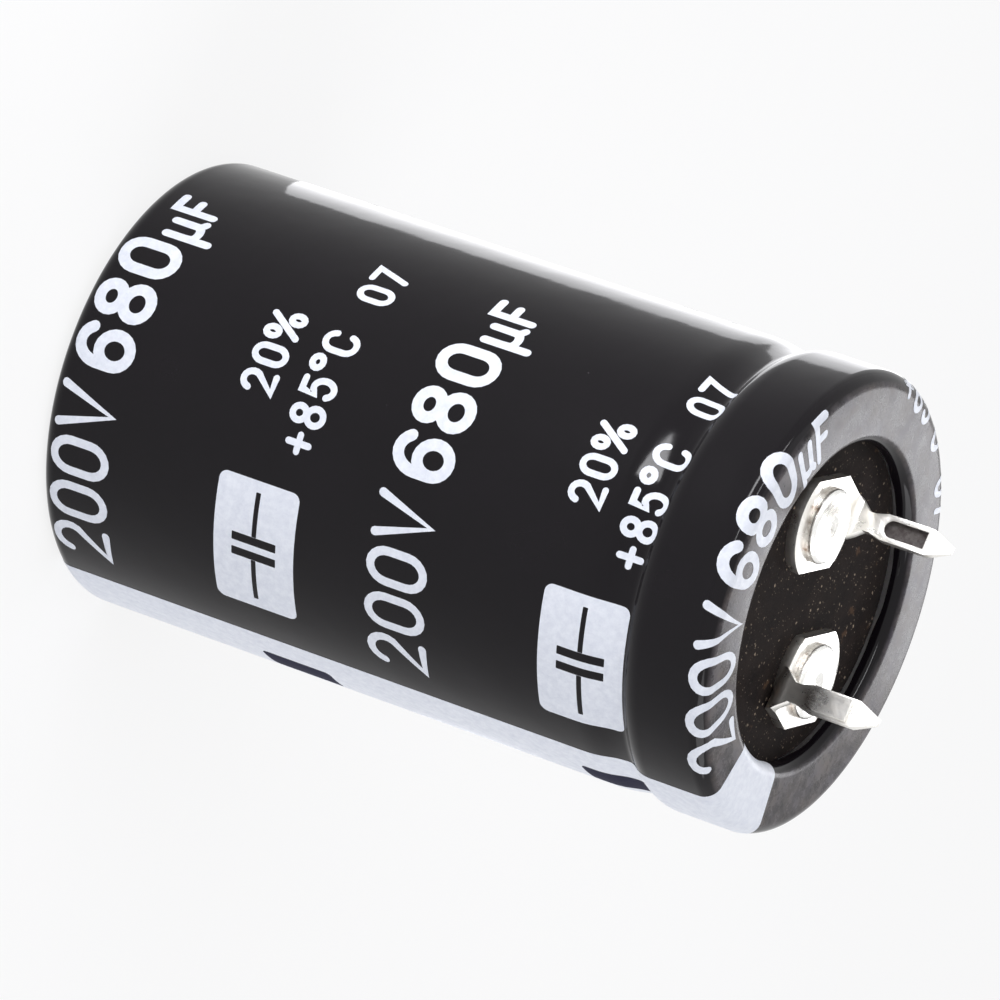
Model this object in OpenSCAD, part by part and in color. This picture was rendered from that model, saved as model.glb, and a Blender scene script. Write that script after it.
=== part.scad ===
// Snap-in aluminium electrolytic capacitor, standing on its closed end.
// Z runs up the case to the terminals, X runs through both pins.
// The origin is the middle of the closed end.

/* [Case] */
// Outside diameter of the aluminium can
case_d = 25; // [22:0.5:30]
// Height from the closed end to the sleeved rim, without the pins
case_h = 42; // [32:1:60]
// Thickness of the drawn can wall
wall_t = 0.45; // [0.35:0.05:0.55]
// Thickness of the can bottom
bottom_t = 0.7; // [0.5:0.05:1.2]
// Outside radius of the corner at the closed end
corner_r = 0.8; // [0.6:0.05:1.2]
// Inside radius of that corner
corner_inner_r = 0.35; // [0.2:0.05:0.5]

/* [Vent] */
// Length of each scored line across the can bottom
vent_l = 13; // [8:0.5:16]
// Width of the scored lines
vent_w = 0.6; // [0.3:0.1:1]
// Depth of the scored lines
vent_depth = 0.35; // [0.2:0.05:0.4]

/* [Bead and rim] */
// Depth of the groove that holds the seal up
bead_depth = 1.3; // [1:0.1:1.6]
// Radius of the bends that form the groove, at mid wall
bead_r = 1.1; // [0.9:0.05:1.4]
// Extra radius of the case above the groove
rim_swell = 0.2; // [0.1:0.05:0.3]
// Outside radius of the rim's shoulder
rim_r = 0.7; // [0.6:0.05:1.2]
// Width of the rolled rim, from its outside to its inside
curl_w = 3.6; // [3:0.1:4]
// Outside radius where the rim turns down into the opening
turn_r = 0.5; // [0.5:0.05:0.7]
// How deep the rim's edge presses into the rubber
curl_bite = 0.5; // [0.2:0.05:0.8]

/* [Sleeve] */
// Thickness of the shrunk plastic sleeve
sleeve_t = 0.2; // [0.15:0.05:0.3]
// How far the sleeve follows the case down into the groove
sleeve_dip = 0.3; // [0.2:0.05:0.5]
// How far the sleeve's lowest line lies above the middle of the groove
dip_lift = 0.64; // [0:0.02:0.7]
// How far the sleeve turns in over the closed end
sleeve_lap = 3.2; // [2.5:0.1:4]
// How far the sleeve reaches down inside the rim
lip_h = 0.9; // [0.8:0.05:1]

/* [Polarity stripe] */
// Angle that the white stripe takes round the sleeve
stripe_angle = 31; // [20:1:45]
// Thickness of the printed ink, which lies flush in the sleeve
ink_t = 0.1; // [0.04:0.02:0.12]
// Length of a minus mark, along the case
mark_l = 4.4; // [3:0.1:6]
// Width of a minus mark, round the case
mark_w = 2.4; // [1.2:0.1:3]
// Height of the lowest minus mark
mark_z = 14.9; // [10:0.1:18]
// Step from one minus mark to the next
mark_pitch = 20.3; // [10:0.1:24]

/* [Seal] */
// Depth of the rubber face below the rim
seal_drop = 1.2; // [1.15:0.05:1.8]
// Thickness of the rubber face
rubber_t = 1.2; // [1:0.1:2]
// Thickness of the phenolic board under the rubber
board_t = 2.4; // [2:0.1:4]
// Gap between the seal and the can
seal_gap = 0.03; // [0.01:0.01:0.05]

/* [Terminals] */
// Distance between the two pins
pin_pitch = 10; // [9:0.5:11]
// Height of the pins above the rim
pin_h = 5.4; // [4:0.1:6.5]
// Thickness of the terminal sheet
terminal_t = 0.6; // [0.5:0.05:0.65]
// Width of the pin
blade_w = 1.5; // [1.3:0.1:1.7]
// Width of the foot where the pin leaves the plate
foot_w = 2.4; // [1.8:0.1:2.6]
// Height over which the foot narrows to the neck
foot_h = 0.8; // [0.5:0.1:0.8]
// Width of the neck under the pin
neck_w = 1.1; // [1:0.1:1.3]
// Width of the pin at its point
tip_w = 0.4; // [0.3:0.1:0.8]
// Length of the point
tip_l = 1.3; // [0.8:0.1:1.6]
// Inside radius of the bend at the foot of the pin
bend_r = 0.4; // [0.3:0.05:0.6]
// Diameter of the round ends of the plate under the rivet head
plate_d = 6.2; // [5.6:0.1:6.4]
// Width of the strip that the plate is cut from
plate_w = 5.1; // [4.8:0.1:5.5]
// Direction in which that strip runs
plate_turn = 115; // [105:1:125]
// Distance of the rivet from the pin towards the middle, along X
rivet_in = 1.5; // [1.2:0.1:1.7]
// Distance of the rivet from the line of the pins, along Y
rivet_off = 3.1; // [2.9:0.1:3.4]
// Width of the trough pressed into the pin
trough_w = 0.95; // [0.6:0.05:1]
// Length of the trough
trough_l = 2.5; // [1.8:0.1:2.7]
// Distance from the trough to the start of the point
trough_end = 0.25; // [0.15:0.05:0.4]
// Depth of the trough on the front
trough_depth = 0.38; // [0.2:0.02:0.42]
// Height of the ridge that the trough raises on the back
ridge_h = 0.26; // [0.1:0.02:0.3]

/* [Rivets] */
// Diameter of the rivet shank
rivet_d = 2.4; // [2:0.1:2.6]
// Gap round the shank
rivet_gap = 0.02; // [0.01:0.01:0.04]
// Diameter of the outer head
head_d = 4.2; // [3.6:0.1:4.6]
// Height of the outer head
head_h = 0.5; // [0.4:0.05:0.5]
// Diameter of the closed inner end
peen_d = 3.8; // [3.2:0.1:4.2]
// Height of the closed inner end
peen_h = 0.5; // [0.4:0.05:0.8]
// Outside diameter of the washer under the inner end
washer_d = 4.8; // [4.4:0.1:5.2]
// Thickness of the washer
washer_t = 0.4; // [0.3:0.05:0.6]

/* [Winding] */
// Gap between the taped winding and the can
winding_gap = 0.35; // [0.2:0.05:0.8]
// Room left between the winding and the groove
winding_room = 0.8; // [0.5:0.1:2]
// Diameter of the hole that the winding mandrel leaves
mandrel_d = 3.4; // [2.5:0.1:4]
// Step between the turns that show on the ends
turn_pitch = 1.3; // [1:0.1:2]
// Depth of the furrows between those turns
turn_depth = 0.5; // [0.3:0.1:1]
// Thickness of the fixing tape
tape_t = 0.1; // [0.05:0.01:0.15]
// Height of the band of fixing tape
tape_h = 20; // [10:1:24]

/* [Foil tabs] */
// Width of a foil tab
tab_w = 4; // [3:0.5:4.5]
// Thickness of a foil tab
tab_t = 0.25; // [0.15:0.05:0.3]
// Radius of the slack fold, at mid thickness
fold_r = 0.8; // [0.7:0.05:0.9]
// Length of tab past the rivet on its way to the fold
tab_reach = 3.4; // [3:0.1:3.8]
// How far the tab comes back below the fold before it drops
tab_back = 1.6; // [1.4:0.1:2]
// Depth to which a tab is wound in
tab_bury = 4; // [2:0.5:8]
// Gap between a tab and the turns beside it
tab_gap = 0.02; // [0.01:0.01:0.05]

/* [Hidden] */
$fn = 64;

half_t = wall_t / 2;
wall_mid_r = case_d / 2 - half_t;
rim_mid_r = wall_mid_r + rim_swell;
curl_mid_r = rim_mid_r + wall_t - curl_w;
bottom_z = sleeve_t;
floor_z = bottom_z + bottom_t;
rim_z = case_h - sleeve_t;

seal_z = case_h - seal_drop;
curl_edge_z = seal_z - curl_bite;
board_top_z = seal_z - rubber_t;
board_z = board_top_z - board_t;
seal_r = rim_mid_r - half_t - seal_gap;

// The groove is two bends each way, so its half heights follow from its depth
bend_sum = 2 * bead_r;
bead_low_h = half_height(bead_depth, bend_sum);
bead_high_h = half_height(bead_depth + rim_swell, bend_sum);
bead_z = board_z - seal_gap - bead_high_h + bead_r - half_t;

plate_z = seal_z;
plate_top_z = plate_z + terminal_t;
tip_z = case_h + pin_h;
rivet_x = pin_pitch / 2 - rivet_in;
rivet_y = rivet_off;
bend_z = plate_top_z + bend_r;
bend_y = terminal_t / 2 + bend_r;
trough_z = tip_z - tip_l - trough_end - trough_l;

tab_z = board_z - tab_t / 2;
washer_z = board_z - tab_t - washer_t;
peen_z = washer_z - peen_h;
rivet_hole_d = rivet_d + 2 * rivet_gap;

winding_r = wall_mid_r - half_t - winding_gap - tape_t;
winding_top_z = bead_z - bead_low_h - winding_room;
winding_h = winding_top_z - floor_z;
turn_count = floor((winding_r - mandrel_d / 2) / turn_pitch) - 1;
tab_drop_y = tab_reach - tab_back;

skin = half_t + sleeve_t;
ink_spill = 0.3;
overcut = 1;

// Points of an arc about c from angle a0 to a1
function arc(c, r, a0, a1, steps = 8) =
    [for (i = [0:steps]) let (a = a0 + (a1 - a0) * i / steps) c + r * [cos(a), sin(a)]];

function reversed(list) = [for (i = [len(list) - 1:-1:0]) list[i]];

// Angle, half height and sum of radii of two equal bends that shift a wall by depth
function bend_angle(depth, sum) = acos(1 - depth / sum);
function half_height(depth, sum) = sum * sin(bend_angle(depth, sum));
function sum_for(depth, height) = (height * height + depth * depth) / (2 * depth);

// The case's line through a groove with its middle at mid_z, the rim and the rolled edge,
// at distance d outside mid wall
function neck_line(d, depth, mid_z, low_sum, high_sum, end_z) =
    let (
        low_a = bend_angle(depth, low_sum),
        high_a = bend_angle(depth + rim_swell, high_sum),
        low_h = half_height(depth, low_sum),
        high_h = half_height(depth + rim_swell, high_sum),
        nose_r = wall_mid_r - depth
    )
    concat(
        arc([wall_mid_r - low_sum / 2, mid_z - low_h], low_sum / 2 + d, 0, low_a),
        arc([nose_r + low_sum / 2, mid_z], low_sum / 2 - d, 180 + low_a, 180),
        arc([nose_r + high_sum / 2, mid_z], high_sum / 2 - d, 180, 180 - high_a),
        arc([rim_mid_r - high_sum / 2, mid_z + high_h], high_sum / 2 + d, -high_a, 0),
        arc([rim_mid_r + half_t - rim_r, rim_z - rim_r], rim_r - half_t + d, 0, 90),
        arc([curl_mid_r - half_t + turn_r, rim_z - turn_r], turn_r - half_t + d, 90, 180),
        [[curl_mid_r - d, end_z]]
    );

// The closed end's outside corner, at distance d outside mid wall
function corner_line(d) =
    arc([case_d / 2 - corner_r, bottom_z + corner_r], corner_r - half_t + d, -90, 0);

function can_neck(d) = neck_line(d, bead_depth, bead_z, bend_sum, bend_sum, curl_edge_z);

// The sleeve leaves the can where the groove starts and bridges it with wider bends
function sleeve_neck(d, end_z) =
    neck_line(
        d, sleeve_dip, bead_z + dip_lift,
        sum_for(sleeve_dip, bead_low_h + dip_lift),
        sum_for(sleeve_dip + rim_swell, bead_high_h - dip_lift),
        end_z
    );

// The sleeve's line from one end to the other, longer at both by spill
function sleeve_line(d, spill) =
    concat(
        [[case_d / 2 + sleeve_t - sleeve_lap - spill, bottom_z + half_t - d]],
        corner_line(d),
        sleeve_neck(d, case_h - lip_h - spill)
    );

// A strip between two distances from the case's mid wall
module sleeve_section(inner, outer, spill = 0) {
    polygon(concat(sleeve_line(outer, spill), reversed(sleeve_line(inner, spill))));
}

module can_section() {
    inner_corner = arc(
        [wall_mid_r - half_t - corner_inner_r, floor_z + corner_inner_r],
        corner_inner_r, -90, 0
    );
    polygon(concat(
        [[0, bottom_z]],
        corner_line(half_t),
        can_neck(half_t),
        reversed(can_neck(-half_t)),
        reversed(inner_corner),
        [[0, floor_z]]
    ));
}

// Puts a child at the positive rivet
module at_rivet() {
    translate([rivet_x, rivet_y, 0]) children();
}

// Repeats a child at both rivets
module at_both_rivets() {
    for (side = [0, 180])
        rotate(side) at_rivet() children();
}

// A flat bar with round corners
module rounded_bar(length, width, r) {
    square([length - 2 * r, width], center = true);
    square([length, width - 2 * r], center = true);
    for (x = [-1, 1], y = [-1, 1])
        translate([x * (length / 2 - r), y * (width / 2 - r)]) circle(r);
}

// The minus marks, cut through the stripe from outside
module minus_marks() {
    for (z = [mark_z:mark_pitch:case_h - mark_l])
        translate([-case_d / 2 - sleeve_t - overcut, 0, z])
            rotate([0, 90, 0])
                linear_extrude(2 * overcut + bead_depth)
                    rounded_bar(mark_l, mark_w, mark_w / 4);
}

// The stripe's shape with the minus marks cut out, and past its faces by spill
module stripe_field(spill = 0) {
    difference() {
        rotate(180 - stripe_angle / 2)
            rotate_extrude(angle = stripe_angle)
                sleeve_section(skin - ink_t, skin + spill, spill);
        minus_marks();
    }
}

module sleeve() {
    color("#2a272b")
        difference() {
            rotate_extrude() sleeve_section(half_t, skin);
            stripe_field(ink_spill);
        }
}

module polarity_stripe() {
    color("#f1f3f8") stripe_field();
}

module can() {
    color("#c9ccd0")
        difference() {
            rotate_extrude() can_section();
            for (a = [45, 135])
                rotate(a)
                    translate([-vent_l / 2, -vent_w / 2, bottom_z - overcut])
                        cube([vent_l, vent_w, vent_depth + overcut]);
        }
}

// The rolled edge has pressed a ring into the rubber
module rubber_face() {
    bite_in = curl_mid_r - half_t - seal_gap;
    bite_out = curl_mid_r + half_t + seal_gap;
    color("#37302f")
        difference() {
            rotate_extrude()
                polygon([
                    [0, board_top_z], [seal_r, board_top_z], [seal_r, seal_z],
                    [bite_out, seal_z], [bite_out, curl_edge_z],
                    [bite_in, curl_edge_z], [bite_in, seal_z], [0, seal_z]
                ]);
            at_both_rivets() seal_hole();
        }
}

// The board's lower edge is rounded to sit on the groove's shoulder
module phenolic_board() {
    edge_r = bead_r - half_t - seal_gap;
    color("#5c3d28")
        difference() {
            rotate_extrude()
                polygon(concat(
                    [[0, board_z]],
                    arc([rim_mid_r - bead_r, board_z + edge_r], edge_r, -90, 0),
                    [[seal_r, board_z + edge_r], [seal_r, board_top_z], [0, board_top_z]]
                ));
            at_both_rivets() seal_hole();
        }
}

module seal_hole() {
    translate([0, 0, board_z - overcut])
        cylinder(h = seal_z - board_z + 2 * overcut, d = rivet_hole_d);
}

// Outline of the plate that lies on the rubber: a strip with round ends, and its way to
// the foot of the pin, which leaves the round edge at flare_turn
module plate_outline() {
    pin_x = pin_pitch / 2;
    flare_turn = -15;
    translate([rivet_x, rivet_y])
        intersection() {
            circle(plate_d / 2);
            rotate(plate_turn) square([2 * plate_d, plate_w], center = true);
        }
    polygon([
        [rivet_x, rivet_y] + plate_d / 2 * [cos(flare_turn), sin(flare_turn)],
        [pin_x + foot_w / 2, bend_y],
        [pin_x - foot_w / 2, bend_y],
        [rivet_x, rivet_y]
    ]);
}

// Side view of the pin, from the plate through the bend to the point, in Y and Z
module pin_side() {
    front = terminal_t / 2;
    polygon(concat(
        [[bend_y + neck_w / 2, plate_z]],
        arc([bend_y, bend_z], bend_r + terminal_t, 270, 180),
        [[-front, tip_z - tip_l], [-front / 3, tip_z], [front / 3, tip_z], [front, tip_z - tip_l]],
        arc([bend_y, bend_z], bend_r, 180, 270),
        [[bend_y + neck_w / 2, plate_top_z]]
    ));
}

// Front view of the pin, from its wide foot through the neck and blade to the point, in X and Z
module pin_front() {
    shoulder_z = trough_z - blade_w / 2;
    neck_z = plate_top_z + foot_h;
    polygon([
        [-foot_w / 2, plate_z - overcut], [foot_w / 2, plate_z - overcut],
        [foot_w / 2, plate_top_z], [neck_w / 2, neck_z],
        [neck_w / 2, shoulder_z], [blade_w / 2, trough_z],
        [blade_w / 2, tip_z - tip_l], [tip_w / 2, tip_z],
        [-tip_w / 2, tip_z], [-blade_w / 2, tip_z - tip_l],
        [-blade_w / 2, trough_z], [-neck_w / 2, shoulder_z],
        [-neck_w / 2, neck_z], [-foot_w / 2, plate_top_z]
    ]);
}

// The pressed trough's outline, square at the point's end and round at the foot
module trough_outline(width) {
    translate([-width / 2, 0]) square([width, trough_l - width / 2]);
    circle(width / 2);
}

// A plate riveted to the seal, bent up into a pin with a pressed trough
module terminal() {
    front = terminal_t / 2;
    foot_z = trough_z + trough_w / 2;
    color("#e3e2dc") {
        difference() {
            union() {
                translate([0, 0, plate_z]) linear_extrude(terminal_t) plate_outline();
                translate([pin_pitch / 2, 0, 0]) {
                    intersection() {
                        rotate([90, 0, 90]) linear_extrude(2 * blade_w, center = true) pin_side();
                        rotate([90, 0, 0]) linear_extrude(4 * blade_w, center = true) pin_front();
                    }
                    translate([0, 0, foot_z])
                        rotate([90, 0, 0])
                            linear_extrude(front + ridge_h) trough_outline(trough_w + ridge_h);
                }
            }
            translate([pin_pitch / 2, front - trough_depth, foot_z])
                rotate([90, 0, 180])
                    linear_extrude(overcut) trough_outline(trough_w);
            at_rivet()
                translate([0, 0, plate_z - overcut])
                    cylinder(h = terminal_t + 2 * overcut, d = rivet_hole_d);
        }
    }
}

// A rivet from its outer head down to its closed inner end
module rivet() {
    head_r = head_d / 2;
    edge = head_h * 0.6;
    peen_edge = peen_h * 0.6;
    punch_r = rivet_d / 4;
    punch_depth = head_h / 3;
    color("#d9dadb")
        at_rivet()
            rotate_extrude()
                polygon(concat(
                    [[0, peen_z]],
                    arc([peen_d / 2 - peen_edge, peen_z + peen_edge], peen_edge, -90, 0, 4),
                    [[peen_d / 2, washer_z], [rivet_d / 2, washer_z]],
                    [[rivet_d / 2, plate_top_z], [head_r, plate_top_z]],
                    arc([head_r - edge, plate_top_z + head_h - edge], edge, 0, 90, 6),
                    [[punch_r, plate_top_z + head_h], [0, plate_top_z + head_h - punch_depth]]
                ));
}

module washer() {
    color("#c4c7ca")
        at_rivet()
            translate([0, 0, washer_z])
                difference() {
                    cylinder(h = washer_t, d = washer_d);
                    translate([0, 0, -overcut])
                        cylinder(h = washer_t + 2 * overcut, d = rivet_hole_d);
                }
}

// The tab's line at distance d below mid thickness: out under the board, back through
// its slack fold, and down into the winding, in Y from the rivet and Z
function tab_line(d) =
    let (run_z = tab_z - 2 * fold_r)
    concat(
        [[-washer_d / 2, tab_z - d]],
        arc([tab_reach, tab_z - fold_r], fold_r - d, 90, -90),
        arc([tab_drop_y + fold_r, run_z - fold_r], fold_r + d, 90, 180),
        [[tab_drop_y - d, winding_top_z - tab_bury]]
    );

module tab() {
    color("#b9bcc0")
        at_rivet()
            difference() {
                rotate([90, 0, 90])
                    linear_extrude(tab_w, center = true)
                        polygon(concat(tab_line(tab_t / 2), reversed(tab_line(-tab_t / 2))));
                translate([0, 0, washer_z])
                    cylinder(h = washer_t + tab_t + overcut, d = rivet_hole_d);
            }
}

// Paper and foil rolled on a mandrel: the turns show as furrows on both ends
module winding() {
    color("#cfc4a8")
        difference() {
            translate([0, 0, floor_z]) cylinder(h = winding_h, r = winding_r);
            translate([0, 0, floor_z - overcut])
                cylinder(h = winding_h + 2 * overcut, d = mandrel_d);
            for (turn = [1:turn_count], z = [floor_z, winding_top_z])
                translate([0, 0, z])
                    turn_furrow(mandrel_d / 2 + turn * turn_pitch);
            at_both_rivets() tab_slot();
        }
}

module turn_furrow(r) {
    difference() {
        cylinder(h = 2 * turn_depth, r = r + turn_pitch / 4, center = true);
        cylinder(h = 4 * turn_depth, r = r - turn_pitch / 4, center = true);
    }
}

module tab_slot() {
    width = tab_w + 2 * tab_gap;
    thick = tab_t + 2 * tab_gap;
    translate([-width / 2, tab_drop_y - thick / 2, winding_top_z - tab_bury])
        cube([width, thick, tab_bury + overcut]);
}

module winding_tape() {
    color("#a8c4d4")
        translate([0, 0, floor_z + (winding_h - tape_h) / 2])
            difference() {
                cylinder(h = tape_h, r = winding_r + tape_t);
                translate([0, 0, -overcut]) cylinder(h = tape_h + 2 * overcut, r = winding_r);
            }
}

// The negative side is the positive one turned half round the case
module negative() {
    rotate(180) children();
}

sleeve();
polarity_stripe();
can();
rubber_face();
phenolic_board();
terminal();  // positive_terminal
negative() terminal();  // negative_terminal
rivet();  // positive_rivet
negative() rivet();  // negative_rivet
washer();  // positive_washer
negative() washer();  // negative_washer
tab();  // positive_tab
negative() tab();  // negative_tab
winding();
winding_tape();
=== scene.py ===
import math
import bmesh
import bpy
from mathutils import Matrix, Quaternion, Vector
from mathutils.geometry import delaunay_2d_cdt


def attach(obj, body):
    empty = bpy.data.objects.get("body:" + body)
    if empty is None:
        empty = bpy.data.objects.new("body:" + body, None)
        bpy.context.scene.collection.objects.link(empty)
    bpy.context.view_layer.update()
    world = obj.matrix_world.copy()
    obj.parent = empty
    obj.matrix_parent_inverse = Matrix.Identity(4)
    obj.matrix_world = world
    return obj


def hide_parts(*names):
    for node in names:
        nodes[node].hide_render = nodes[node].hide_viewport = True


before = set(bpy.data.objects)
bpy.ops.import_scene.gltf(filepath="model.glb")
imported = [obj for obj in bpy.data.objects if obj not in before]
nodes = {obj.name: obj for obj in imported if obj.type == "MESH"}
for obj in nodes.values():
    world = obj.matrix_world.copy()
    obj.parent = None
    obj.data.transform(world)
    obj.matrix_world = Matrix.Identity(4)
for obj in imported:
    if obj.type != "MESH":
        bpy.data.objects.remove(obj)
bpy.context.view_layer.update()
mm = 0.001
fullTurn = 2 * math.pi
print("frame loaded:", len(nodes), "parts")


# small helpers for nodes and meshes

def feed(tree, socket, value):
    # a link where the value is another node's output, else a fixed value
    if isinstance(value, bpy.types.NodeSocket):
        tree.links.new(value, socket)
    else:
        socket.default_value = value


def addNode(tree, kind, inputs=None, **settings):
    node = tree.nodes.new(kind)
    for key, value in settings.items():
        setattr(node, key, value)
    for key, value in (inputs or {}).items():
        feed(tree, node.inputs[key], value)
    return node


def mathNode(tree, operation, first, second=0.5, clamp=False):
    node = addNode(tree, "ShaderNodeMath", {0: first, 1: second}, operation=operation, use_clamp=clamp)
    return node.outputs[0]


def timesPlus(tree, value, factor, plus):
    # value * factor + plus
    return mathNode(tree, "ADD", mathNode(tree, "MULTIPLY", value, factor), plus)


def vectorNode(tree, operation, first, second=(0, 0, 0)):
    return addNode(tree, "ShaderNodeVectorMath", {0: first, 1: second}, operation=operation).outputs[0]


def scaleVector(tree, vector, factor):
    return addNode(tree, "ShaderNodeVectorMath", {0: vector, "Scale": factor}, operation="SCALE").outputs[0]


def axesOf(tree, place):
    return addNode(tree, "ShaderNodeSeparateXYZ", {0: place}).outputs


def rampNode(tree, value, low, high):
    # black up to low, white from high on
    node = addNode(tree, "ShaderNodeValToRGB", {"Fac": value})
    node.color_ramp.elements[0].position = low
    node.color_ramp.elements[1].position = high
    return node.outputs["Color"]


def between(tree, value, low, high):
    # 0 at low, 1 at high, straight between them
    return addNode(tree, "ShaderNodeMapRange", {"Value": value, "From Min": low, "From Max": high}).outputs[0]


def mixColours(tree, factor, first, second):
    node = addNode(tree, "ShaderNodeMix", {0: factor}, data_type="RGBA")
    for index, colour in ((6, first), (7, second)):
        feed(tree, node.inputs[index], colour if isinstance(colour, bpy.types.NodeSocket) else (*colour, 1))
    return node.outputs[2]


def shaded(colour, factor):
    return [factor * part for part in colour]


def newGroup(name, inputs, outputs):
    # a tuple makes a vector input and a number a float input; each output is a float
    group = bpy.data.node_groups.new(name, "ShaderNodeTree")
    for label, value in inputs.items():
        kind = "NodeSocketVector" if isinstance(value, tuple) else "NodeSocketFloat"
        group.interface.new_socket(label, in_out="INPUT", socket_type=kind).default_value = value
    for label in outputs:
        group.interface.new_socket(label, in_out="OUTPUT", socket_type="NodeSocketFloat")
    return group, group.nodes.new("NodeGroupInput").outputs, group.nodes.new("NodeGroupOutput").inputs


def placeGroup(tree, group, place, settings):
    node = addNode(tree, "ShaderNodeGroup", node_tree=group)
    for key, value in {"Place": place, **settings}.items():
        feed(tree, node.inputs[key], value)
    return node.outputs


def newMaterial(name, **fixed):
    # returns the material, its tree, its Principled BSDF and the surface's place in millimetres
    material = bpy.data.materials.new(name)
    material.use_nodes = True
    tree = material.node_tree
    shader = tree.nodes["Principled BSDF"]
    for key, value in fixed.items():
        shader.inputs[key].default_value = value
    place = addNode(tree, "ShaderNodeTexCoord").outputs["Object"]
    return material, tree, shader, scaleVector(tree, place, 1 / mm)


def layFinish(tree, shader, colour, roughness, height, depth):
    # what a finish comes down to: its colour, its roughness and a relief, whose depth is in millimetres
    feed(tree, shader.inputs["Base Color"], colour)
    feed(tree, shader.inputs["Roughness"], roughness)
    bump = addNode(tree, "ShaderNodeBump", {"Height": height, "Distance": depth * mm, "Strength": 1.0})
    feed(tree, shader.inputs["Normal"], bump.outputs["Normal"])


def dress(nodeName, material):
    data = nodes[nodeName].data
    data.materials.clear()
    data.materials.append(material)
    for face in data.polygons:
        face.material_index = 0


softEdge = {"width": 0.06, "steps": 2, "fromAngle": 35, "joinWithin": 0.001}


def softenEdges(nodeName):
    # the CAD shape stays; its sheared edges catch the light as real ones do
    # its faces come unjoined, and a bevel needs them joined
    modifiers = nodes[nodeName].modifiers
    joined = modifiers.new("joinedFaces", "WELD")
    joined.merge_threshold = softEdge["joinWithin"] * mm
    bevel = modifiers.new("softEdges", "BEVEL")
    bevel.width = softEdge["width"] * mm
    bevel.segments = softEdge["steps"]
    bevel.limit_method = "ANGLE"
    bevel.angle_limit = math.radians(softEdge["fromAngle"])
    modifiers.new("evenNormals", "WEIGHTED_NORMAL")


# effects that more than one finish uses

def makeFineGrain():
    # an even, cloudy grain: Value for colour, Height for bump
    inputs = {"Place": (0, 0, 0), "Grain Size": 0.3, "Softness": 0.5}
    group, given, out = newGroup("fineGrain", inputs, ("Value", "Height"))
    scale = mathNode(group, "DIVIDE", 1.0, given["Grain Size"])
    cloud = addNode(group, "ShaderNodeTexNoise",
                    {"Vector": given["Place"], "Scale": scale, "Detail": 4.0, "Roughness": given["Softness"]})
    feed(group, out["Value"], rampNode(group, cloud.outputs["Fac"], 0.3, 0.7))
    feed(group, out["Height"], cloud.outputs["Fac"])
    return group


def makeDustSpecks():
    # scattered ragged specks of many sizes: Mask is 1 on a speck
    wobbles, widest, sharpness = 3.0, 0.6, 9.0
    inputs = {"Place": (0, 0, 0), "Spacing": 1.0, "Amount": 0.3, "Ragged": 0.3}
    group, given, out = newGroup("dustSpecks", inputs, ("Mask",))
    scale = mathNode(group, "DIVIDE", 1.0, given["Spacing"])
    wobbleScale = mathNode(group, "MULTIPLY", scale, wobbles)
    wobble = addNode(group, "ShaderNodeTexNoise", {"Vector": given["Place"], "Scale": wobbleScale})
    shift = vectorNode(group, "SUBTRACT", wobble.outputs["Color"], (0.5, 0.5, 0.5))
    reach = mathNode(group, "MULTIPLY", given["Ragged"], given["Spacing"])
    moved = vectorNode(group, "ADD", given["Place"], scaleVector(group, shift, reach))
    cells = addNode(group, "ShaderNodeTexVoronoi", {"Vector": moved, "Scale": scale})
    chance = addNode(group, "ShaderNodeSeparateColor", {"Color": cells.outputs["Color"]}).outputs[0]
    size = mathNode(group, "SUBTRACT", given["Amount"], chance, clamp=True)
    edge = mathNode(group, "SUBTRACT", mathNode(group, "MULTIPLY", size, widest), cells.outputs["Distance"])
    feed(group, out["Mask"], mathNode(group, "MULTIPLY", edge, sharpness, clamp=True))
    return group


def makeHairlines():
    # fine scratches that run along one direction of Stretch
    rarity, sharpness = 0.55, 6.0
    inputs = {"Place": (0, 0, 0), "Stretch": (1, 1, 1), "Amount": 0.4}
    group, given, out = newGroup("hairlines", inputs, ("Mask", "Height"))
    drawn = vectorNode(group, "MULTIPLY", given["Place"], given["Stretch"])
    lines = addNode(group, "ShaderNodeTexNoise",
                    {"Vector": drawn, "Scale": 1.0, "Detail": 6.0, "Roughness": 0.7})
    above = mathNode(group, "SUBTRACT", lines.outputs["Fac"], rarity, clamp=True)
    mask = mathNode(group, "MULTIPLY", above, sharpness, clamp=True)
    feed(group, out["Mask"], mathNode(group, "MULTIPLY", mask, given["Amount"]))
    feed(group, out["Height"], lines.outputs["Fac"])
    return group


def makeTurnedRings():
    # rings round an axis along Z, as a tool or a rolled edge leaves them
    inputs = {"Place": (0, 0, 0), "Centre": (0, 0, 0), "Spacing": 0.5}
    group, given, out = newGroup("turnedRings", inputs, ("Mask", "Height"))
    moved = vectorNode(group, "SUBTRACT", given["Place"], given["Centre"])
    flat = vectorNode(group, "MULTIPLY", moved, (1, 1, 0))
    radius = addNode(group, "ShaderNodeVectorMath", {0: flat}, operation="LENGTH").outputs["Value"]
    line = addNode(group, "ShaderNodeCombineXYZ", {0: mathNode(group, "DIVIDE", radius, given["Spacing"])})
    rings = addNode(group, "ShaderNodeTexNoise",
                    {"Vector": line.outputs[0], "Scale": 1.0, "Detail": 3.0, "Roughness": 0.6})
    feed(group, out["Height"], rings.outputs["Fac"])
    feed(group, out["Mask"], rampNode(group, rings.outputs["Fac"], 0.4, 0.65))
    return group


fineGrain = makeFineGrain()
dustSpecks = makeDustSpecks()
hairlines = makeHairlines()
turnedRings = makeTurnedRings()
print("effects built")


# finishes; an effect's settings stand in the look under the effect's name

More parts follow.
